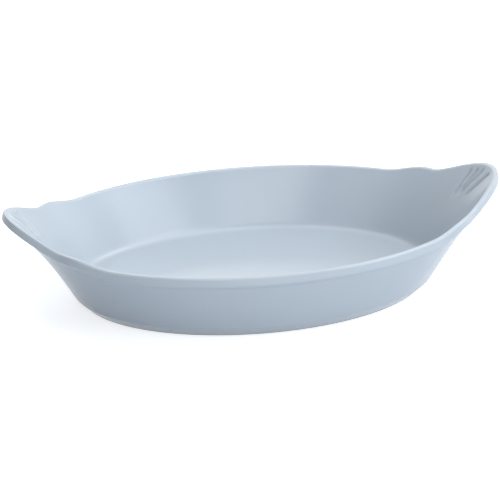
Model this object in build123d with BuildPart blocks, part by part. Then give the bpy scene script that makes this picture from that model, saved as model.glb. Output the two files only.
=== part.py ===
"""Oval gratin dish with an ear at each end, in glazed stoneware.

Millimetres. The origin is on the table under the middle of the dish, +X runs to an ear and
+Z is up. The dish is one fired piece: a clay body, the glaze fused over it, and the glaze in
the recess under the floor, which the bare foot ring cuts off from the rest.

The wall is drawn as a closed section that stands upright and square to the oval of the base.
Such sections are set round the dish and lofted, so that the rim climbs to the ears while the
lip keeps its thickness and its rounded edges.
"""

from build123d import *
from math import cos, hypot, pi, radians, sin, sqrt
import os

os.makedirs("parts", exist_ok=True)

# Oval of the wall's outer face, carried down to the table
base_half_length = 108.9
base_half_width = 69.8

# Outward runs of the wall from the table to the side rim, at the ends and at the sides
side_height = 45.4
end_lean = 25.0
end_curl = 4.1
side_lean = 21.9
side_tuck = 6.1

# Rim: level along the sides, then a shoulder lobe, then the ear; angles round from the ear
shoulder_height = 50.8
ear_height = 63.8
ear_end_angle = 20.0
ear_fullness_share = 0.8
shoulder_top_angle = 22.0
shoulder_foot_angle = 37.3

# Wall, with a raised band round the outside of its flat lip
wall = 4.0
band_proud = 1.3
band_height = 8.6
band_slope = 2.2
lip_round = 1.6

# Heel, foot ring and floor
heel_height = 6.8
foot_inset = 3.2
foot_width = 4.6
foot_draft = 1.2
recess_depth = 2.2
floor_thickness = 4.8
floor_height = recess_depth + floor_thickness
cove_rise = 4.2
floor_lap = 2.6
floor_seat = 2.4

# Glaze, wiped off the foot ring and its margins before firing
glaze = 0.4
glaze_line = 1.2
wiped_margin = 2.0

# Flutes pressed into the inside of each ear, by the angles of their tops and of their feet
flute_tops = (-2.3, 1.7, 3.9, 6.1)
flute_feet = (-0.4, 2.8, 4.0, 5.8)
flute_top_drop = 5.5
flute_foot_drop = 19.0
flute_radius = 2.0
flute_end_depth = 0.3
flute_overrun = 9.0

# Sections stand at even angles, and those of one half run past its cut at the middle
section_step = 10
section_count = 21
slope_reach = 0.01
outer_shares = (0.33, 0.67)
inner_shares = (0.36, 0.68)

# Narrow flats that make up each round of a section
round_flats = 3


def oval(height):
    """Half length and half width of the wall's outer face at a height."""
    rise = height / side_height
    half_length = base_half_length + end_lean * rise + end_curl * rise**3
    half_width = base_half_width + side_lean * rise - side_tuck * rise**2
    return half_length, half_width


def ease(share):
    """Smooth step from 0 to 1."""
    return (1 - cos(pi * min(max(share, 0), 1))) / 2


def rim_height(angle):
    """Height at which the wall's outer face ends at the lip, by the angle round from the ear."""
    turn = min(abs(angle), 180 - abs(angle))
    shoulder = ease((shoulder_foot_angle - turn) / (shoulder_foot_angle - shoulder_top_angle))
    ear = ease(1 - turn / ear_end_angle) ** ear_fullness_share
    climb = (shoulder_height - side_height) * shoulder + (ear_height - shoulder_height) * ear
    return side_height + climb


def section_plane(angle):
    """Upright plane square to the base oval: its x runs outward and its y up."""
    turn = radians(angle)
    start = (base_half_length * cos(turn), base_half_width * sin(turn), 0)
    outward = (base_half_width * cos(turn), base_half_length * sin(turn), 0)
    return Plane(origin=start, x_dir=outward, z_dir=(outward[1], -outward[0], 0))


def wall_run(angle, height):
    """Outward distance at which the section's plane meets the oval of a height."""
    plane = section_plane(angle)
    half_length, half_width = oval(height)
    start_x, start_y = plane.origin.X / half_length, plane.origin.Y / half_width
    way_x, way_y = plane.x_dir.X / half_length, plane.x_dir.Y / half_width
    square = way_x**2 + way_y**2
    cross = start_x * way_x + start_y * way_y
    inside = 1 - start_x**2 - start_y**2
    return (sqrt(cross**2 + square * inside) - cross) / square


def wall_point(angle, height, out=0, along=0):
    """Point of the section, moved out from the wall's face and up along it."""
    run = wall_run(angle, height)
    gain = wall_run(angle, height + slope_reach) - wall_run(angle, height - slope_reach)
    slope = gain / (2 * slope_reach)
    stretch = hypot(1, slope)
    return Vector(run + (out + along * slope) / stretch, height + (along - out * slope) / stretch)


def heel_point(angle, under):
    """Corner between the wall and the heel, which slants in to the foot."""
    return wall_point(angle, heel_height, -under)


def foot_edge(under):
    """Outer edge of the foot ring on the table."""
    return Vector(-foot_inset - under, 0)


def floor_end(under):
    """Inner end of a section, on the floor beyond the foot ring."""
    return Vector(-foot_inset - foot_width - floor_lap, floor_height - under)


def straight_edges(points):
    """Straight edges from each point to the next."""
    return [Edge.make_line(*ends) for ends in zip(points, points[1:])]


def cove_points(start, corner, landing):
    """Points along the curve that rounds off a corner between its two ends."""
    shares = [number / round_flats for number in range(round_flats + 1)]
    return [
        start * (1 - share) ** 2 + corner * 2 * share * (1 - share) + landing * share**2
        for share in shares
    ]


def wall_face(angle, under):
    """Edges of a section's face, lying under the glaze, from the heel over the lip to the floor."""
    top = rim_height(angle)

    # outer face, and the slope up to the band
    crease = wall_point(angle, top, -under, -band_height)
    climb = crease.Y - heel_height
    outer = [wall_point(angle, heel_height + climb * share, -under) for share in outer_shares]
    outer = [heel_point(angle, under), *outer, crease]
    band_foot = wall_point(angle, top, band_proud - under, band_slope - band_height)

    # lip, flat and square to the wall, with a round at each side
    radius = lip_round - under
    turns = [pi / 2 * number / round_flats for number in range(round_flats + 1)]
    sides = [(radius * cos(turn), radius * sin(turn) - lip_round) for turn in turns]
    lip_outer = [wall_point(angle, top, band_proud - lip_round + out, along) for out, along in sides]
    lip_inner = [wall_point(angle, top, lip_round - wall - out, along) for out, along in reversed(sides)]

    # inner face, and the cove that runs out on the floor
    cove_top = floor_height + cove_rise
    inner = [wall_point(angle, top - (top - cove_top) * share, under - wall) for share in inner_shares]
    start = wall_point(angle, cove_top, under - wall)
    down = (start - wall_point(angle, cove_top + slope_reach, under - wall)).normalized()
    reach = (floor_height - under - start.Y) / down.Y
    corner = start + down * reach
    landing = corner - Vector(reach, 0)

    return [
        Edge.make_spline(outer),
        *straight_edges([crease, band_foot, *lip_outer, *lip_inner]),
        Edge.make_spline([lip_inner[-1], *inner, start]),
        *straight_edges(cove_points(start, corner, landing)),
    ]


def solid_section(angle, under):
    """Closed section of the wall with its foot ring and the edge of its floor."""
    face = wall_face(angle, under)
    foot_inner = Vector(-foot_inset - foot_width, 0)
    shelf = Vector(foot_inner.X - foot_draft, recess_depth + floor_thickness / 2)
    with BuildSketch(section_plane(angle)) as section:
        with BuildLine():
            Polyline(shelf, foot_inner, foot_edge(under), heel_point(angle, under))
            add(face)
            Polyline(face[-1] @ 1, floor_end(under), shelf)
        make_face()
    return section.sketch


def glaze_end(angle, under):
    """Point of the heel where the glaze stops."""
    foot, heel = foot_edge(under), heel_point(angle, under)
    return foot + (heel - foot) * (glaze_line / heel.Y)


def glaze_section(angle):
    """Closed strip of glaze from the heel over the lip to the floor."""
    face, back = wall_face(angle, 0), wall_face(angle, glaze)
    with BuildSketch(section_plane(angle)) as section:
        with BuildLine():
            Polyline(
                heel_point(angle, glaze),
                glaze_end(angle, glaze),
                glaze_end(angle, 0),
                heel_point(angle, 0),
            )
            add(face)
            Polyline(face[-1] @ 1, floor_end(0), floor_end(glaze), back[-1] @ 1)
            add(back)
        make_face()
    return section.sketch


def half_wall(make_section, **options):
    """Wall of the half round one ear, lofted through its sections and cut at the middle."""
    with BuildPart() as half:
        for number in range(section_count):
            add(make_section(section_step * (number - (section_count - 1) / 2), **options))
        loft()
        split(bisect_by=Plane.YZ, keep=Keep.TOP)
    return half.part


def flute_axis_point(angle, drop):
    """Point on the axis of a flute, as far down the inside of an ear as the drop says."""
    offset = flute_end_depth - flute_radius - wall
    return section_plane(angle).from_local_coords(wall_point(angle, rim_height(angle) - drop, offset))


def flute_rods(radius):
    """Rods that lie in the flutes of one ear: its face flares, so it leaves them at both ends."""
    with BuildPart() as rods:
        for top_angle, foot_angle in zip(flute_tops, flute_feet):
            high = flute_axis_point(top_angle, flute_top_drop)
            low = flute_axis_point(foot_angle, flute_foot_drop)
            way = (high - low).normalized()
            with BuildSketch(Plane(origin=low - way * flute_overrun, z_dir=way)):
                Circle(radius)
            extrude(amount=(high - low).length + 2 * flute_overrun)
    return rods.part


# Glaze round the flutes, before they are pressed: its top lies inside the coat
with BuildPart() as flute_glaze:
    add(flute_rods(flute_radius + glaze))
    add(half_wall(solid_section, under=glaze / 2), mode=Mode.INTERSECT)

with BuildPart() as clay_body:
    add(half_wall(solid_section, under=glaze))
    add(flute_rods(flute_radius + glaze), mode=Mode.SUBTRACT)
    mirror(about=Plane.YZ)
    with BuildSketch(Plane.XY.offset(recess_depth)):
        floor_inset = foot_inset + floor_seat
        Ellipse(base_half_length - floor_inset, base_half_width - floor_inset)
    extrude(amount=floor_thickness - glaze)
clay_body.part.label = "clay_body"

with BuildPart() as glaze_coat:
    add(half_wall(glaze_section))
    add(flute_glaze.part)
    add(flute_rods(flute_radius), mode=Mode.SUBTRACT)
    mirror(about=Plane.YZ)
    with BuildSketch(Plane.XY.offset(floor_height - glaze)):
        pool_inset = foot_inset + foot_width + floor_lap / 2
        Ellipse(base_half_length - pool_inset, base_half_width - pool_inset)
    extrude(amount=glaze)
glaze_coat.part.label = "glaze_coat"

with BuildPart() as underside_glaze:
    with BuildSketch(Plane.XY.offset(recess_depth - glaze)):
        recess_inset = foot_inset + foot_width + wiped_margin
        Ellipse(base_half_length - recess_inset, base_half_width - recess_inset)
    extrude(amount=glaze)
underside_glaze.part.label = "underside_glaze"

export_step(clay_body.part, "parts/clay_body.step")
export_step(glaze_coat.part, "parts/glaze_coat.step")
export_step(underside_glaze.part, "parts/underside_glaze.step")
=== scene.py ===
"""Oval gratin dish with an ear at each end, in satin pale blue-grey glaze.

The dish is three pieces that were fired together: the clay body, the glaze coat that runs from
the heel over the lip to the middle of the floor, and the glaze in the recess of the underside.
Sizes are in millimetres, as on a maker's drawing, and each mesh is put down in metres.
"""

import logging
from dataclasses import asdict, dataclass, field
from enum import Enum
from math import cos, pi, radians, sin

import bpy
import numpy as np
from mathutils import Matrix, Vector


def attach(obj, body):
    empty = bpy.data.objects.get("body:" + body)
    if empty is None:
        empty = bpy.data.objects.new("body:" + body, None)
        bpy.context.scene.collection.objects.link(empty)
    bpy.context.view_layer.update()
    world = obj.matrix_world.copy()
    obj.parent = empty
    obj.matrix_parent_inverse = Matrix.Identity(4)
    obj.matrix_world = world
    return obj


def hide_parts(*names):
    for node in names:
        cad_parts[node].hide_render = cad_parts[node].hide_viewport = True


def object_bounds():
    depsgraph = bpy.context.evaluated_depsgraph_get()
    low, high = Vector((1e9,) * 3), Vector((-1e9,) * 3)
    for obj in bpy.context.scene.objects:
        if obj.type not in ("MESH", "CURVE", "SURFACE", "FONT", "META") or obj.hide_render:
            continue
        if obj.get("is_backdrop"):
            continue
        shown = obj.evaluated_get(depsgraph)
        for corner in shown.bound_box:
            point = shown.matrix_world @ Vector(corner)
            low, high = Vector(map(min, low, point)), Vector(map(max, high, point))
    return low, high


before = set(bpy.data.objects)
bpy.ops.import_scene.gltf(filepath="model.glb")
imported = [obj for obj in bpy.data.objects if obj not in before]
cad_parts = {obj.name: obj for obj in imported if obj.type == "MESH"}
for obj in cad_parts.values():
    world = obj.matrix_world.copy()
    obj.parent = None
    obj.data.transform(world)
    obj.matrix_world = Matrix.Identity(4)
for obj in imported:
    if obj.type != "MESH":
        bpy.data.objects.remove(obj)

logging.basicConfig(level=logging.INFO, format="%(message)s")
LOG = logging.getLogger("gratin_dish")

Array = np.ndarray
Values = np.ndarray | float
Tone = tuple[float, float, float]
Band = tuple[float, float]
Thing = bpy.types.Object
Socket = bpy.types.NodeSocket
Inputs = dict[str | int, object]
MILLIMETRE = 0.001
BODY = "root"
WHITE = (1.0, 1.0, 1.0, 1.0)

# Sockets of a node that mixes two colours: its share, the two colours and its result
MIX_SHARE, MIX_FIRST, MIX_SECOND, MIX_RESULT = 0, 6, 7, 2


class Slot(Enum):
    """Material slots of the record, for the glaze and the bare clay."""

    GLAZE = "glaze"
    CLAY = "bare_clay"


def ease(share: Array) -> Array:
    """Cosine step from 0 to 1."""
    return (1.0 - np.cos(pi * np.clip(share, 0.0, 1.0))) / 2.0


def turn_from_ear(angle: Array) -> Array:
    """Degrees from the middle of the nearer ear, from 0 to 90."""
    return np.abs((angle + 90.0) % 180.0 - 90.0)


def bezier(corners: list[Array], share: Array) -> Array:
    """Cubic through the first and last of four points, drawn towards the two between.

    Args:
        corners: the four points.
        share: shares of the way along it.

    Returns:
        The sum of the points, each times its cubic weight.
    """
    back = 1.0 - share
    first, second, third, last = corners
    return back**3 * first + 3 * back**2 * share * second + 3 * back * share**2 * third + share**3 * last


@dataclass(frozen=True)
class Columns:
    """Sections round the dish, closer together at the ears and their shoulders.

    Attributes:
        count: number of sections, all round.
        bells: rises of their density round an ear, each as its height over the plain level
            and the degrees at which it has fallen to that height divided by e.
        bell_power: how square the bells are.
        places: number of places, all round, at which the density is summed.
    """

    count: int
    bells: tuple[tuple[float, float], ...] = ((5.0, 8.5), (0.7, 30.0))
    bell_power: int = 4
    places: int = 7201

    def angles(self) -> Array:
        """Angles of the sections.

        Returns:
            Degrees from 0 up to 360, with equal shares of the summed density between neighbours.
            The density is 1 plus the bells. A bell is its height over e to the power of x, where
            x is the turn over the bell's width, raised to the bells' power.
        """
        fine = np.linspace(0.0, 360.0, self.places)
        turn = turn_from_ear(fine)
        density = np.ones_like(turn)
        for height, width in self.bells:
            density += height * np.exp(-((turn / width) ** self.bell_power))
        total = np.concatenate([[0.0], np.cumsum((density[1:] + density[:-1]) / 2.0)])
        return np.interp(np.arange(self.count) / self.count * total[-1], total, fine)


@dataclass(frozen=True)
class LipForm:
    """Section of the lip, in millimetres: a crest on the inner side, a line, and an outer bead.

    Attributes:
        proud: how far the bead stands out from the wall's face.
        crest_round: radius of the crest, which reaches the rim's line.
        crest_depth: how far down the wall's inner face its inner side starts.
        bead_round: radius of the bead.
        bead_drop: depth of the bead's middle under the rim's line, along the wall.
    """

    proud: Values
    crest_round: Values
    crest_depth: Values
    bead_round: Values
    bead_drop: Values

    def towards(self, other: "LipForm", share: Array) -> "LipForm":
        """Lip between this one and another.

        Args:
            other: the other lip.
            share: share of the way to it, in each section.

        Returns:
            A lip whose sizes are arrays, each blended by the share.
        """
        first, last = asdict(self), asdict(other)
        return LipForm(**{name: first[name] + (last[name] - first[name]) * share for name in first})

    def slant(self, wall: float) -> Array:
        """Way that the line which touches crest and bead faces.

        Args:
            wall: thickness of the wall that the lip closes.

        Returns:
            Its turn outward from the wall's own way, in radians: the turn of the way from the
            crest's middle to the bead's, less the arc cosine of the difference of their radii
            over their distance.
        """
        across = (self.proud - self.bead_round) - (self.crest_round - wall)
        along = self.crest_round - self.bead_drop
        gap = (self.crest_round - self.bead_round) / np.hypot(across, along)
        return np.arctan2(across, along) - np.arccos(gap)


@dataclass(frozen=True)
class DishForm:
    """Form of the dish: an oval that widens as it climbs, and a rim that climbs to the ears.

    A section stands upright and square to the base oval at each angle, in degrees round from
    the right-hand ear. Its run is the distance outward from the oval, and its height is above
    the table. A drop is a distance down along the wall from the rim.
    """

    # Base oval, and how far the wall's outer face runs out at the ends and at the sides
    base_half_length: float = 108.9
    base_half_width: float = 69.8
    end_lean: float = 26.0
    end_curl: float = 4.1
    side_lean: float = 21.9
    side_tuck: float = 6.1

    # Rim: level along the sides, then a shoulder, then the ear
    side_height: float = 45.4
    shoulder_height: float = 50.1
    shoulder_top_angle: float = 22.0
    shoulder_foot_angle: float = 37.3
    ear_height: float = 62.9
    ear_end_angle: float = 20.0
    ear_fullness_share: float = 0.8

    # Wall, its rolled lip, and the foot of the band under the lip
    wall: float = 4.0
    side_lip: LipForm = LipForm(0.85, 1.75, 1.75, 1.6, 4.95)
    ear_lip: LipForm = LipForm(1.2, 1.4, 3.2, 1.4, 2.5)
    ear_lip_top_angle: float = 6.0
    ear_lip_foot_angle: float = 34.0
    band_height: float = 7.9
    crease_depth: float = 0.1
    crease_width: float = 1.8

    # Heel, and the floor with its cove
    heel_height: float = 6.8
    heel_blend: float = 1.0
    heel_round_share: float = 0.22
    floor_height: float = 9.0
    cove_rise: float = 3.2
    cove_handle_share: float = 0.85

    # Foot ring and recess; each edge is rounded through points given from its corner
    foot_inset: float = 3.2
    foot_width: float = 4.6
    foot_draft: float = 1.2
    recess_depth: float = 2.2
    foot_outer_edge: tuple[tuple[float, float], ...] = ((0.0, 0.3), (-0.08, 0.06), (-0.35, 0.0))
    foot_inner_edge: tuple[tuple[float, float], ...] = ((0.4, 0.0), (0.06, 0.05), (0.0, 0.25))
    recess_edge: tuple[tuple[float, float], ...] = ((0.1, -0.5), (-0.1, -0.1), (-0.8, 0.0))

    # Glaze, wiped off the foot ring and its margins
    glaze: float = 0.4
    glaze_line: float = 0.6
    wiped_margin: float = 2.0
    pool_round: float = 1.2

    # Flutes pressed into the inside of each ear, by the angles of their tops and of their feet
    flute_tops: tuple[float, ...] = (-1.3, 2.5, 4.8, 7.1)
    flute_feet: tuple[float, ...] = (0.7, 4.0, 5.1, 6.8)
    flute_spread: float = 0.52
    flute_power: float = 2.4
    flute_depth: float = 1.8
    flute_top_drop: float = 4.0
    flute_foot_drop: float = 26.0
    flute_fade: float = 4.0

    # Small steps up the wall that give its slope at a height, and its way down into the cove
    slope_step: float = 0.01
    cove_step: float = 0.5

    def oval(self, height: Values) -> tuple[Array, Array]:
        """Half length and half width of the wall's outer face.

        Args:
            height: heights above the table.

        Returns:
            The half length, a line and a cube of the height's share of the side, and the half
            width, a line less a square of it.
        """
        rise = height / self.side_height
        half_length = self.base_half_length + self.end_lean * rise + self.end_curl * rise**3
        half_width = self.base_half_width + self.side_lean * rise - self.side_tuck * rise**2
        return half_length, half_width

    def rim_height(self, angle: Array) -> Array:
        """Height at which the outer face ends at the lip.

        Args:
            angle: angles of the sections.

        Returns:
            The level of the sides, plus a cosine step to the shoulder, plus a cosine step, bent
            by a power, up to the ear.
        """
        turn = turn_from_ear(angle)
        flank = self.shoulder_foot_angle - self.shoulder_top_angle
        shoulder = ease((self.shoulder_foot_angle - turn) / flank)
        ear = ease(1.0 - turn / self.ear_end_angle) ** self.ear_fullness_share
        climb = (self.shoulder_height - self.side_height) * shoulder
        return self.side_height + climb + (self.ear_height - self.shoulder_height) * ear

    def lip(self, angle: Array) -> LipForm:
        """Lip of each section, between those of the side and of the ear by a cosine step.

        Args:
            angle: angles of the sections.

        Returns:
            A lip whose sizes are arrays.
        """
        flank = self.ear_lip_foot_angle - self.ear_lip_top_angle
        share = ease((self.ear_lip_foot_angle - turn_from_ear(angle)) / flank)
        return self.side_lip.towards(self.ear_lip, share)

    def frame_at(self, angle: Array) -> tuple[Array, Array]:
        """Start and outward way of each section on the table.

        Args:
            angle: angles of the sections.

        Returns:
            Points of the base oval, and unit vectors square to it, with x and y last.
        """
        along, across = np.cos(np.radians(angle)), np.sin(np.radians(angle))
        start = np.stack([self.base_half_length * along, self.base_half_width * across], axis=-1)
        way = np.stack([self.base_half_width * along, self.base_half_length * across], axis=-1)
        return start, way / np.linalg.norm(way, axis=-1, keepdims=True)

    def wall_run(self, angle: Array, height: Values) -> Array:
        """Run at which a section meets the oval of a height.

        Args:
            angle: angles of the sections.
            height: heights above the table.

        Returns:
            The positive root of the quadratic that puts start + run * way on the oval.
        """
        start, way = self.frame_at(angle)
        half_length, half_width = self.oval(height)
        start_x, start_y = start[..., 0] / half_length, start[..., 1] / half_width
        way_x, way_y = way[..., 0] / half_length, way[..., 1] / half_width
        square = way_x**2 + way_y**2
        cross = start_x * way_x + start_y * way_y
        inside = 1.0 - start_x**2 - start_y**2
        return (np.sqrt(np.maximum(cross**2 + square * inside, 0.0)) - cross) / square

    def wall_point(self, angle: Array, height: Values, out: Values, up: Values) -> Array:
        """Points of the sections, moved square to the wall's face and up along it.

        Args:
            angle: angles of the sections.
            height: heights on the wall's outer face.
            out: distances outward, square to the face.
            up: distances up along the face.

        Returns:
            Run and height, last: the face's point plus out times its normal plus up times its
            tangent, where the tangent's slope is a central difference of the run.
        """
        step = self.slope_step
        run = self.wall_run(angle, height)
        gain = self.wall_run(angle, height + step) - self.wall_run(angle, height - step)
        slope = gain / (2.0 * step)
        stretch = np.hypot(1.0, slope)
        moved = [run + (out + up * slope) / stretch, height + (up - out * slope) / stretch]
        return np.stack(moved, axis=-1)

    def flute_cut(self, angle: Array, drop: Array) -> Array:
        """Depth of the flutes pressed into each ear.

        Args:
            angle: angles of the sections.
            drop: drops in each of them.

        Returns:
            A sum of bell-shaped grooves across the ear, each with a middle that shifts evenly
            from its top's angle to its foot's, times a cosine fade at either end. The second
            ear is the mirror image of the first.
        """
        full = angle % 360.0
        around = np.where(np.abs(full - 180.0) < 90.0, 180.0 - full, (full + 180.0) % 360.0 - 180.0)
        down = (drop - self.flute_top_drop) / (self.flute_foot_drop - self.flute_top_drop)
        grooves = np.zeros_like(drop)
        for top, foot in zip(self.flute_tops, self.flute_feet):
            middle = top + (foot - top) * down
            grooves += np.exp(-np.abs((around - middle) / self.flute_spread) ** self.flute_power)
        upper = ease((drop - self.flute_top_drop) / self.flute_fade)
        lower = ease((self.flute_foot_drop + self.flute_fade - drop) / (2.0 * self.flute_fade))
        return self.flute_depth * grooves * upper * lower

    def laid(self, angle: Array, points: Array) -> Array:
        """Points in space, where each run is laid along its section's way.

        Args:
            angle: angles of the sections.
            points: rows and columns of (run, height); one column may serve all sections.

        Returns:
            Rows, columns, then x, y and height.
        """
        start, way = self.frame_at(angle)
        flat = start + points[..., :1] * way
        height = np.broadcast_to(points[..., 1:], (*flat.shape[:-1], 1))
        return np.concatenate([flat, height], axis=-1)


@dataclass
class Profile:
    """Rows of points from the edge of the floor out over the lip and down to the glaze line.

    Attributes:
        form: the dish's sizes.
        under: depth of these rows under the glazed face.
        angle: angles of the sections.
        detail: share of the full count of rows. The inner wall's rows are the same at every
            detail, so that no skin cuts another in the flutes.
        cove_rows: full count of rows in the cove.
        wall_rows: rows up the inner wall.
        lip_rows: full count of rows over the crest, and over the bead.
        band_rows: full count of rows down the band.
        outside_rows: full count of rows down the outer face.
        outside_power: how much these crowd under the band.
        heel_rows: full count of rows round the heel.
        foot_rows: full count of rows from there to the glaze line.
        fewest_rows: rows that a stretch has at any detail.
        rows: the rows made so far.
        top: the rim's height in each section.
        lip: the lip of each section.
        climb: height gained for each millimetre up along the wall, at the rim.
    """

    form: DishForm
    under: float
    angle: Array
    detail: float
    cove_rows: int = 12
    wall_rows: int = 46
    lip_rows: int = 14
    band_rows: int = 12
    outside_rows: int = 24
    outside_power: float = 1.5
    heel_rows: int = 8
    foot_rows: int = 3
    fewest_rows: int = 2
    rows: list[Array] = field(default_factory=list)
    top: Array = field(init=False)
    lip: LipForm = field(init=False)
    climb: Array = field(init=False)

    def __post_init__(self) -> None:
        """Works out what the stretches share."""
        self.top = self.form.rim_height(self.angle)
        self.lip = self.form.lip(self.angle)
        self.climb = (self.point(self.top, 0.0, 1.0) - self.point(self.top, 0.0))[..., 1]

    def point(self, height: Values, out: Values, up: Values = 0.0) -> Array:
        """Points of the sections, moved out and up as DishForm.wall_point says."""
        return self.form.wall_point(self.angle, height, out, up)

    def count(self, rows: int) -> int:
        """Rows of a stretch at this detail."""
        return max(self.fewest_rows, round(rows * self.detail))

    def share(self, rows: int) -> Array:
        """Even shares from 0 up to but not including 1, in a column, for a stretch of rows."""
        return (np.arange(self.count(rows)) / self.count(rows))[:, None]

    def inner_face(self) -> None:
        """Adds the floor's edge, the cove and the inner wall, up to the lip.

        The cove is a cubic between the floor and the wall, both straight where they meet it. The
        wall is the outer face moved in by its thickness, and eased on to the lip's start.
        """
        form = self.form
        deep = self.under - form.wall
        foot_height = form.floor_height + form.cove_rise
        start = self.point(foot_height, deep)
        above = self.point(foot_height + form.cove_step, deep)
        down = (start - above) / np.linalg.norm(start - above, axis=-1, keepdims=True)
        reach = (form.floor_height - self.under - start[..., 1]) / down[..., 1]
        corner = start + down * reach[..., None]
        landing = corner - np.stack([reach, np.zeros_like(reach)], axis=-1)
        handles = [end + (corner - end) * form.cove_handle_share for end in (landing, start)]
        self.rows.append(bezier([landing, *handles, start], self.share(self.cove_rows)[..., None]))

        lip_start = self.point(self.top, deep, -self.lip.crest_depth)
        end_height = self.top - self.lip.crest_depth * self.climb
        end = self.point(end_height, deep)
        share = (np.arange(self.wall_rows) / self.wall_rows)[:, None]
        height = foot_height + (end_height - foot_height) * share
        cut = form.flute_cut(self.angle, (self.top - height) / self.climb)
        self.rows.append(self.point(height, deep + cut) + (lip_start - end) * (share**2)[..., None])

    def rolled_lip(self) -> None:
        """Adds the crest on the inner face, a line that touches crest and bead, and the bead.

        The crest is a quarter of an oval on its inner side and a circle from its top to the
        line, and the bead is a circle from the line to the band's fullest place. Each is drawn
        in by the depth under the glazed face.
        """
        lip = self.lip
        slant = lip.slant(self.form.wall)
        share = np.linspace(0.0, 1.0, self.count(self.lip_rows))[:, None]
        turn = -pi / 2.0 + (slant + pi / 2.0) * share
        depth = np.where(turn < 0.0, lip.crest_depth, lip.crest_round)
        out = lip.crest_round - self.form.wall + (lip.crest_round - self.under) * np.sin(turn)
        self.rows.append(self.point(self.top, out, (depth - self.under) * np.cos(turn) - depth))

        turn = slant + (pi / 2.0 - slant) * share[:-1]
        radius = lip.bead_round - self.under
        out = lip.proud - lip.bead_round + radius * np.sin(turn)
        self.rows.append(self.point(self.top, out, radius * np.cos(turn) - lip.bead_drop))

    def band_and_outside(self) -> None:
        """Adds the band's underside, the soft crease below it and the outer face to the heel.

        The band falls back to the wall by a cosine step, with a shallow groove at its foot. The
        rows then leave the tangent of the rim, by a cube of the share that is left, and follow
        the oval's own face down to the heel.
        """
        form, lip = self.form, self.lip
        share = self.share(self.band_rows)
        down = lip.bead_drop + (form.band_height - lip.bead_drop) * share
        proud = lip.proud - (lip.proud + form.crease_depth) * ease(share)
        self.rows.append(self.point(self.top, proud - self.under, -down))

        start_height = self.top - form.band_height * self.climb
        crease = self.point(self.top, -self.under, -form.band_height)
        start = self.point(start_height, -self.under)
        share = self.share(self.outside_rows) ** self.outside_power
        height = start_height + (form.heel_height + form.heel_blend - start_height) * share
        below = (start_height - height) / self.climb
        groove = form.crease_depth * (1.0 - ease(below / form.crease_width))
        left = ((1.0 - share) ** 3)[..., None]
        self.rows.append(self.point(height, -self.under - groove) + (crease - start) * left)

    def heel(self) -> None:
        """Adds the rounded heel, as a cubic, and its slant down to the glaze line."""
        form = self.form
        start = self.point(form.heel_height + form.heel_blend, -self.under)
        corner = self.point(form.heel_height, -self.under)
        foot = np.array([-form.foot_inset - self.under, 0.0])
        end = corner + (foot - corner) * form.heel_round_share
        last = foot + (corner - foot) * (form.glaze_line / form.heel_height)
        self.rows.append(bezier([start, corner, corner, end], self.share(self.heel_rows)[..., None]))
        self.rows.append(end + (last - end) * self.share(self.foot_rows)[..., None])
        self.rows.append(last[None])


def floor_rings(edge: Array, count: int) -> Array:
    """Rings of a flat floor.

    Args:
        edge: the floor's outer ring.
        count: number of rings inside it.

    Returns:
        The edge drawn in to its middle by even shares, from the smallest ring out, without the
        edge itself. Its height stays.
    """
    share = (np.arange(1, count + 1) / (count + 1))[:, None, None]
    rings = np.repeat(edge[None], count, axis=0)
    rings[..., :2] *= share
    return rings


def closed_mesh(name: str, rings: Array) -> Thing:
    """Object of a closed, smooth skin from rings of points, with a pole at each end.

    Args:
        name: the piece's name.
        rings: rows, columns, then x, y and z in millimetres, from the first pole to the last.
            Seen from outside, a column runs down and the rows run to the right.

    Returns:
        The object, at the origin, with its place in its mesh.
    """
    rows, columns, _ = rings.shape
    poles = np.stack([rings[0].mean(axis=0), rings[-1].mean(axis=0)])
    points = np.concatenate([rings.reshape(-1, 3), poles]) * MILLIMETRE
    index = np.arange(rows * columns).reshape(rows, columns)
    beside = np.roll(index, -1, axis=1)
    quads = np.stack([index[:-1], index[1:], beside[1:], beside[:-1]], axis=-1).reshape(-1, 4)
    first = np.stack([np.full(columns, rows * columns), index[0], beside[0]], axis=-1)
    last = np.stack([np.full(columns, rows * columns + 1), beside[-1], index[-1]], axis=-1)
    loops = np.concatenate([quads.ravel(), first.ravel(), last.ravel()])
    sizes = np.concatenate([np.full(len(quads), 4), np.full(2 * columns, 3)])
    starts = np.concatenate([[0], np.cumsum(sizes)[:-1]])

    mesh = bpy.data.meshes.new(name)
    mesh.vertices.add(len(points))
    mesh.vertices.foreach_set("co", points.ravel().astype(np.float32))
    mesh.loops.add(len(loops))
    mesh.loops.foreach_set("vertex_index", loops.astype(np.int32))
    mesh.polygons.add(len(sizes))
    mesh.polygons.foreach_set("loop_start", starts.astype(np.int32))
    mesh.polygons.foreach_set("use_smooth", np.full(len(sizes), True))
    mesh.update(calc_edges=True)
    mesh.validate()
    piece = bpy.data.objects.new(name, mesh)
    bpy.context.scene.collection.objects.link(piece)
    return piece


@dataclass(frozen=True)
class Noise:
    """Noise on a piece's own coordinates: its scale to a metre, its octaves and their share."""

    scale: float
    detail: float
    roughness: float = 0.5


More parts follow.
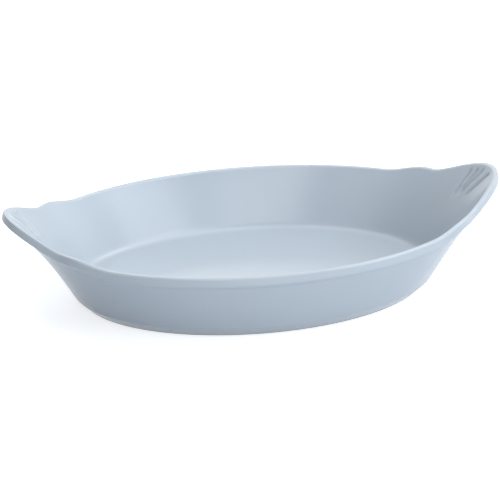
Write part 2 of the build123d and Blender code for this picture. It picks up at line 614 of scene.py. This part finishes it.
class Nodes:
    """Short way to lay out the nodes of a material or a world."""

    def __init__(self, owner: bpy.types.Material | bpy.types.World, output: str) -> None:
        """Empties the owner's nodes and adds its output.

        Args:
            owner: the material or world.
            output: type of its output node, without its ShaderNode prefix.
        """
        owner.use_nodes = True
        self.owner = owner
        self.tree = owner.node_tree
        self.tree.nodes.clear()
        self.output = self.new(output)

    def put(self, value: object, socket: Socket) -> None:
        """Links a socket to an input, or sets the input to a plain value.

        Args:
            value: the other node's socket, or the value.
            socket: the input.
        """
        if isinstance(value, Socket):
            self.tree.links.new(value, socket)
        else:
            socket.default_value = value

    def new(self, kind: str, inputs: Inputs | None = None, **settings: object) -> bpy.types.Node:
        """Adds a node.

        Args:
            kind: the node's type, without its ShaderNode prefix.
            inputs: values or sockets for its inputs, by name or number.
            settings: its own settings.

        Returns:
            The node.
        """
        node = self.tree.nodes.new("ShaderNode" + kind)
        for key, value in settings.items():
            setattr(node, key, value)
        for key, value in (inputs or {}).items():
            self.put(value, node.inputs[key])
        return node

    def noise(self, noise: Noise) -> Socket:
        """Adds noise on the piece's own coordinates.

        Args:
            noise: its sizes.

        Returns:
            Its strength, from 0 to 1.
        """
        inputs = {"Vector": self.new("TexCoord").outputs["Object"], "Scale": noise.scale}
        inputs |= {"Detail": noise.detail, "Roughness": noise.roughness}
        return self.new("TexNoise", inputs).outputs["Fac"]

    def ramp(self, value: Socket, band: Band, start: float = 0.0, end: float = 1.0) -> Socket:
        """Maps a value's band smoothly from start to end.

        Args:
            value: the value.
            band: its lowest and highest level that still changes the result.
            start: result at the lowest.
            end: result at the highest.

        Returns:
            The result.
        """
        inputs = {"Value": value, "From Min": band[0], "From Max": band[1]}
        inputs |= {"To Min": start, "To Max": end}
        return self.new("MapRange", inputs, interpolation_type="SMOOTHSTEP").outputs["Result"]

    def blend(self, share: Socket, first: object, second: object) -> Socket:
        """Adds a mix of two colours by a share."""
        inputs = {MIX_SHARE: share, MIX_FIRST: first, MIX_SECOND: second}
        return self.new("Mix", inputs, data_type="RGBA").outputs[MIX_RESULT]

    def bump(self, height: Socket, strength: float, depth: float) -> Socket:
        """Adds a bump of a strength and a depth in metres, as a normal."""
        return self.new("Bump", {"Height": height, "Strength": strength, "Distance": depth}).outputs[0]

    def seen(self) -> Socket:
        """Tells rays that show a thing as it is from rays that only carry its light.

        Returns:
            1 for a ray from the camera, a glossy face or a clear one, as the most of the three.
        """
        path = self.new("LightPath").outputs
        most = path["Is Camera Ray"]
        for ray in ("Is Glossy Ray", "Is Transmission Ray"):
            most = self.new("Math", {0: most, 1: path[ray]}, operation="MAXIMUM").outputs[0]
        return most

    def finish(self, shader: bpy.types.Node) -> bpy.types.Material | bpy.types.World:
        """Joins the shader to the output and hands over the material or world."""
        self.put(shader.outputs[0], self.output.inputs["Surface"])
        return self.owner


def material_nodes(name: str) -> Nodes:
    """Nodes of a new material."""
    return Nodes(bpy.data.materials.new(name), "OutputMaterial")


def tone(levels: Tone) -> tuple[float, float, float, float]:
    """Colour as the shader's own light values.

    Args:
        levels: red, green and blue as a screen's levels, from 0 to 255.

    Returns:
        The light of each by the usual curve of screens, and 1 for a solid colour.
    """
    parts = [level / 255.0 for level in levels]
    light = [part / 12.92 if part <= 0.04045 else ((part + 0.055) / 1.055) ** 2.4 for part in parts]
    return (*light, 1.0)


@dataclass(frozen=True)
class SatinGlaze:
    """Satin blue-grey glaze: even, with a faint cloud in its colour and a faint wave in its face.

    Attributes:
        body: its main colour.
        thin: colour where the first cloud is thin.
        thick: colour where the second, finer cloud is thick.
        cloud: the first cloud, which also sets the roughness.
        cloud_band: its levels that change the colour.
        drift: the second cloud.
        drift_band: its levels that change the colour.
        drift_share: the most that it takes of the colour.
        roughness: the face's roughness.
        rough_band: levels of the first cloud that change it.
        rough_spread: how far it goes either way.
        wave: waves of the face.
        wave_strength: strength of their bump.
        wave_depth: depth of the bump in metres.
        index: refractive index.
    """

    body: Tone = (182.4, 194.1, 205.3)
    thin: Tone = (183.4, 195.0, 206.1)
    thick: Tone = (181.3, 193.2, 204.6)
    cloud: Noise = Noise(28.0, 3.0)
    cloud_band: Band = (0.3, 0.7)
    drift: Noise = Noise(140.0, 4.0, 0.55)
    drift_band: Band = (0.45, 0.8)
    drift_share: float = 0.4
    roughness: float = 0.24
    rough_band: Band = (0.3, 0.75)
    rough_spread: float = 0.012
    wave: Noise = Noise(56.0, 1.0)
    wave_strength: float = 0.10
    wave_depth: float = 0.0002
    index: float = 1.5

    def material(self) -> bpy.types.Material:
        """Lays out the glaze's nodes.

        Returns:
            The material.
        """
        nodes = material_nodes("satin_glaze")
        cloud = nodes.noise(self.cloud)
        colour = nodes.blend(nodes.ramp(cloud, self.cloud_band), tone(self.body), tone(self.thin))
        drift = nodes.ramp(nodes.noise(self.drift), self.drift_band, 0.0, self.drift_share)
        colour = nodes.blend(drift, colour, tone(self.thick))
        low, high = self.roughness - self.rough_spread, self.roughness + self.rough_spread
        inputs = {
            "Base Color": colour,
            "Roughness": nodes.ramp(cloud, self.rough_band, low, high),
            "IOR": self.index,
            "Normal": nodes.bump(nodes.noise(self.wave), self.wave_strength, self.wave_depth),
        }
        return nodes.finish(nodes.new("BsdfPrincipled", inputs))


@dataclass(frozen=True)
class BareClay:
    """Bare stoneware where the glaze was wiped off: pale grey buff, specked and dry to the touch.

    Attributes:
        body: its main colour.
        worn: colour of its darker clouds.
        speck: colour of the specks.
        cloud: the clouds.
        cloud_band: their levels that change the colour.
        grit: grains, which make the specks and the bump.
        speck_band: levels of the grains that are specks.
        speck_share: the most that a speck takes of the colour.
        grit_strength: strength of the grains' bump.
        grit_depth: depth of the bump in metres.
        roughness: the face's roughness.
    """

    body: Tone = (202.0, 196.0, 186.0)
    worn: Tone = (184.0, 176.0, 165.0)
    speck: Tone = (126.0, 115.0, 102.0)
    cloud: Noise = Noise(60.0, 5.0, 0.6)
    cloud_band: Band = (0.35, 0.7)
    grit: Noise = Noise(1400.0, 2.0)
    speck_band: Band = (0.68, 0.78)
    speck_share: float = 0.7
    grit_strength: float = 0.35
    grit_depth: float = 0.0002
    roughness: float = 0.86

    def material(self) -> bpy.types.Material:
        """Lays out the clay's nodes.

        Returns:
            The material.
        """
        nodes = material_nodes("bare_clay")
        cloud = nodes.ramp(nodes.noise(self.cloud), self.cloud_band)
        colour = nodes.blend(cloud, tone(self.body), tone(self.worn))
        grit = nodes.noise(self.grit)
        specks = nodes.ramp(grit, self.speck_band, 0.0, self.speck_share)
        inputs = {
            "Base Color": nodes.blend(specks, colour, tone(self.speck)),
            "Roughness": self.roughness,
            "Normal": nodes.bump(grit, self.grit_strength, self.grit_depth),
        }
        return nodes.finish(nodes.new("BsdfPrincipled", inputs))


def dressed(piece: Thing, finish: bpy.types.Material, node: str) -> Thing:
    """Gives a piece its finish and its place in the frame.

    Args:
        piece: the new object.
        finish: its material.
        node: the CAD node that it stands for.

    Returns:
        The same object.
    """
    piece.data.materials.append(finish)
    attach(piece, BODY)
    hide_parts(node)
    return piece


@dataclass
class Dish:
    """The fired dish: clay body, glaze coat and the glaze under the floor.

    Attributes:
        form: the dish's sizes.
        glaze: finish of both glazed pieces.
        clay: finish of the body.
        coat_columns: sections of the glaze coat.
        clay_columns: sections of the body and of the glaze under the floor.
        coat_inset: how far the coat's face lies inside the form, in millimetres.
        back_share: share of the glaze's thickness at which the coat's back lies.
        back_detail: share of the full count of rows on that back.
        clay_detail: the same on the body.
        floor_count: rings of the floor.
        recess_count: rings of the recess and of the face of the glaze in it.
        pool_back_count: rings of that glaze's back.
        pool_edge_rows: rows round its edge.
    """

    form: DishForm = field(default_factory=DishForm)
    glaze: SatinGlaze = field(default_factory=SatinGlaze)
    clay: BareClay = field(default_factory=BareClay)
    coat_columns: Columns = Columns(420)
    clay_columns: Columns = Columns(400)
    coat_inset: float = 0.05
    back_share: float = 0.9
    back_detail: float = 0.3
    clay_detail: float = 0.9
    floor_count: int = 8
    recess_count: int = 6
    pool_back_count: int = 4
    pool_edge_rows: int = 7

    def skin(self, under: float, angle: Array, detail: float) -> Array:
        """Rings of one face, from the middle of the floor to the glaze line.

        Args:
            under: depth under the glazed face.
            angle: angles of the sections.
            detail: share of the full count of rows.

        Returns:
            Rows, columns, then x, y and height.
        """
        profile = Profile(self.form, under, angle, detail)
        profile.inner_face()
        profile.rolled_lip()
        profile.band_and_outside()
        profile.heel()
        face = self.form.laid(angle, np.concatenate(profile.rows))
        return np.concatenate([floor_rings(face[0], self.floor_count), face])

    def glaze_coat(self, finish: bpy.types.Material) -> Thing:
        """Closed coat of glaze: its face, then its back from the glaze line to the middle.

        Args:
            finish: its material.

        Returns:
            The piece.
        """
        angle = self.coat_columns.angles()
        face = self.skin(self.coat_inset, angle, 1.0)
        back = self.skin(self.form.glaze * self.back_share, angle, self.back_detail)
        piece = closed_mesh("glaze", np.concatenate([face, back[::-1]]))
        return dressed(piece, finish, "glaze_coat")

    def clay_body(self, finish: bpy.types.Material) -> Thing:
        """Closed clay body: its face under the glaze, the foot ring and the recess.

        The face follows the coat's, sunk by the glaze. Below it, the foot ring is rounded at
        both edges, the recess's side leans in, and its flat closes at the middle.

        Args:
            finish: its material.

        Returns:
            The piece.
        """
        form, angle = self.form, self.clay_columns.angles()
        face = self.skin(form.glaze, angle, self.clay_detail)
        inner = -form.foot_inset - form.foot_width
        corners = (
            (-form.foot_inset - form.glaze, 0.0),
            (inner, 0.0),
            (inner - form.foot_draft, form.recess_depth),
        )
        edges = (form.foot_outer_edge, form.foot_inner_edge, form.recess_edge)
        foot = np.concatenate([np.array(corner) + edge for corner, edge in zip(corners, edges)])
        ring = form.laid(angle, foot[:, None])
        roof = floor_rings(ring[-1], self.recess_count)[::-1]
        piece = closed_mesh("clay", np.concatenate([face, ring, roof]))
        return dressed(piece, finish, "clay_body")

    def underside_glaze(self, finish: bpy.types.Material) -> Thing:
        """Thin pool of glaze in the recess, rounded down at its edge by a quarter of an oval.

        Args:
            finish: its material.

        Returns:
            The piece.
        """
        form = self.form
        turn = np.radians(self.clay_columns.angles())
        edge = np.linspace(0.0, pi / 2.0, self.pool_edge_rows)[:, None]
        inset = form.foot_inset + form.foot_width + form.wiped_margin
        fall = form.pool_round * (1.0 - np.sin(edge))
        x = (form.base_half_length - inset - fall) * np.cos(turn)
        y = (form.base_half_width - inset - fall) * np.sin(turn)
        z = np.broadcast_to(form.recess_depth - form.glaze * np.cos(edge), x.shape)
        rim = np.stack([x, y, z], axis=-1)
        face = floor_rings(rim[0], self.recess_count)
        back = floor_rings(rim[-1], self.pool_back_count)
        rings = np.concatenate([face, rim, back[::-1]])
        piece = closed_mesh("underside_glaze_pool", rings[::-1])
        return dressed(piece, finish, "underside_glaze")

    def build(self) -> list[Thing]:
        """Builds the three pieces.

        Returns:
            The pieces, in the order in which they are made.
        """
        glaze, clay = self.glaze.material(), self.clay.material()
        return [self.clay_body(clay), self.glaze_coat(glaze), self.underside_glaze(glaze)]


def stood_off(thing: Thing, target: Vector, way: Vector, reach: float) -> Thing:
    """Stands a lamp or camera off a target, facing it, and links it to the scene.

    Args:
        thing: the lamp or camera.
        target: point that it faces.
        way: unit vector from there towards it.
        reach: metres between them.

    Returns:
        The same object.
    """
    thing.location = target + way * reach
    thing.rotation_euler = (-way).to_track_quat("-Z", "Y").to_euler()
    bpy.context.scene.collection.objects.link(thing)
    return thing


@dataclass(frozen=True)
class SoftLamp:
    """Soft square lamp that faces the middle of the dish.

    Attributes:
        name: its name.
        turn: degrees round from the right-hand ear, seen from above.
        climb: degrees up from the table.
        power: watts.
        reach: metres from its target.
        side: length of its side in metres.
        target_height: height of its target over the table's middle, in metres.
    """

    name: str
    turn: float
    climb: float
    power: float
    reach: float = 2.0
    side: float = 1.1
    target_height: float = 0.03

    def build(self) -> Thing:
        """Adds the lamp.

        Returns:
            The lamp.
        """
        turn, climb = radians(self.turn), radians(self.climb)
        way = Vector((cos(turn) * cos(climb), sin(turn) * cos(climb), sin(climb)))
        data = bpy.data.lights.new(self.name, "AREA")
        data.size = self.side
        data.energy = self.power
        lamp = bpy.data.objects.new(self.name, data)
        return stood_off(lamp, Vector((0.0, 0.0, self.target_height)), way, self.reach)


@dataclass(frozen=True)
class LongLens:
    """Camera with a long lens, which stands where the dish's outline puts it.

    Attributes:
        lens: focal length in millimetres.
        sensor: width of the picture behind the lens, in millimetres.
        nearest: nearest distance that it sees, in metres.
        furthest: furthest distance that it sees, in metres.
        turn: radians from straight in front round to the left, seen from above.
        climb: radians up from the table.
        reach: metres from its target.
        target: the point that it faces, in metres.
    """

    lens: float = 208.24
    sensor: float = 36.0
    nearest: float = 0.1
    furthest: float = 50.0
    turn: float = 0.243857
    climb: float = 0.418167
    reach: float = 1.77497
    target: tuple[float, float, float] = (-0.00276, 0.0, 0.025327)

    def build(self) -> Thing:
        """Adds the camera and makes it the scene's.

        Returns:
            The camera.
        """
        data = bpy.data.cameras.new("camera")
        data.lens, data.sensor_width = self.lens, self.sensor
        data.clip_start, data.clip_end = self.nearest, self.furthest
        left, front = sin(self.turn) * cos(self.climb), cos(self.turn) * cos(self.climb)
        way = Vector((-left, -front, sin(self.climb)))
        camera = stood_off(bpy.data.objects.new("camera", data), Vector(self.target), way, self.reach)
        bpy.context.scene.camera = camera
        return camera


@dataclass
class Studio:
    """Plain white studio: floor, a little light all round, and soft lamps that favour the right.

    Attributes:
        floor_size: length of the floor's side in metres.
        floor_drop: how far it lies under the table's level, in metres.
        floor_tone: light that it gives back.
        floor_roughness: its roughness.
        floor_light: its own light, for rays that show it as it is.
        world_tone: colour of the light all round.
        world_light: strength of that light.
        lamps: the soft lamps.
        lens: the camera.
    """

    floor_size: float = 12.0
    floor_drop: float = 0.0001
    floor_tone: Tone = (0.56, 0.60, 0.655)
    floor_roughness: float = 0.9
    floor_light: float = 0.72
    world_tone: Tone = (0.97, 0.98, 1.0)
    world_light: float = 0.08
    lamps: tuple[SoftLamp, ...] = (
        SoftLamp("right_low_lamp", 0.0, 18.0, 2.22),
        SoftLamp("right_lamp", 0.0, 42.0, 12.0),
        SoftLamp("right_high_lamp", 0.0, 66.0, 5.61),
        SoftLamp("back_low_lamp", 90.0, 18.0, 3.09),
        SoftLamp("back_lamp", 90.0, 42.0, 7.5),
        SoftLamp("back_left_high_lamp", 135.0, 66.0, 8.2),
        SoftLamp("front_left_low_lamp", 225.0, 18.0, 2.6),
        SoftLamp("front_low_lamp", 270.0, 18.0, 10.2),
        SoftLamp("front_right_low_lamp", 315.0, 18.0, 9.3),
        SoftLamp("front_right_lamp", 315.0, 42.0, 8.07),
        SoftLamp("top_lamp", 0.0, 90.0, 6.2),
    )
    lens: LongLens = field(default_factory=LongLens)

    def floor(self) -> Thing:
        """Pale floor that keeps the dish's shadow, and shows white where nothing shades it.

        Returns:
            The floor.
        """
        half = self.floor_size / 2.0
        mesh = bpy.data.meshes.new("floor")
        points = [(-half, -half, 0.0), (half, -half, 0.0), (half, half, 0.0), (-half, half, 0.0)]
        mesh.from_pydata(points, [], [(0, 1, 2, 3)])
        floor = bpy.data.objects.new("floor", mesh)
        floor.location = (0.0, 0.0, -self.floor_drop)
        bpy.context.scene.collection.objects.link(floor)
        nodes = material_nodes("floor")
        glow = nodes.new("Math", {0: nodes.seen(), 1: self.floor_light}, operation="MULTIPLY")
        inputs = {
            "Base Color": (*self.floor_tone, 1.0),
            "Roughness": self.floor_roughness,
            "Specular IOR Level": 0.0,
            "Emission Color": WHITE,
            "Emission Strength": glow.outputs[0],
        }
        mesh.materials.append(nodes.finish(nodes.new("BsdfPrincipled", inputs)))
        floor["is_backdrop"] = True
        return floor

    def world(self) -> None:
        """Sets even light from all round, and plain white where a ray shows the background."""
        nodes = Nodes(bpy.data.worlds.new("studio"), "OutputWorld")
        colour = (*self.world_tone, 1.0)
        light = nodes.new("Background", {"Color": colour, "Strength": self.world_light})
        white = nodes.new("Background", {"Color": WHITE, "Strength": 1.0})
        mix = nodes.new("MixShader", {0: nodes.seen(), 1: light.outputs[0], 2: white.outputs[0]})
        bpy.context.scene.world = nodes.finish(mix)

    def build(self) -> None:
        """Sets the studio up round the dish."""
        self.floor()
        self.world()
        for lamp in self.lamps:
            lamp.build()
        self.lens.build()
        bpy.context.scene.view_settings.view_transform = "Standard"


def corners() -> list[list[float]]:
    """Lowest and highest corner of what is shown, as plain lists."""
    return [list(corner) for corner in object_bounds()]


def main() -> None:
    """Builds the dish in its studio."""
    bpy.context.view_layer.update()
    for piece in Dish().build():
        LOG.info("built %s: %d faces", piece.name, len(piece.data.polygons))
    Studio().build()


if __name__ == "__main__":
    main()
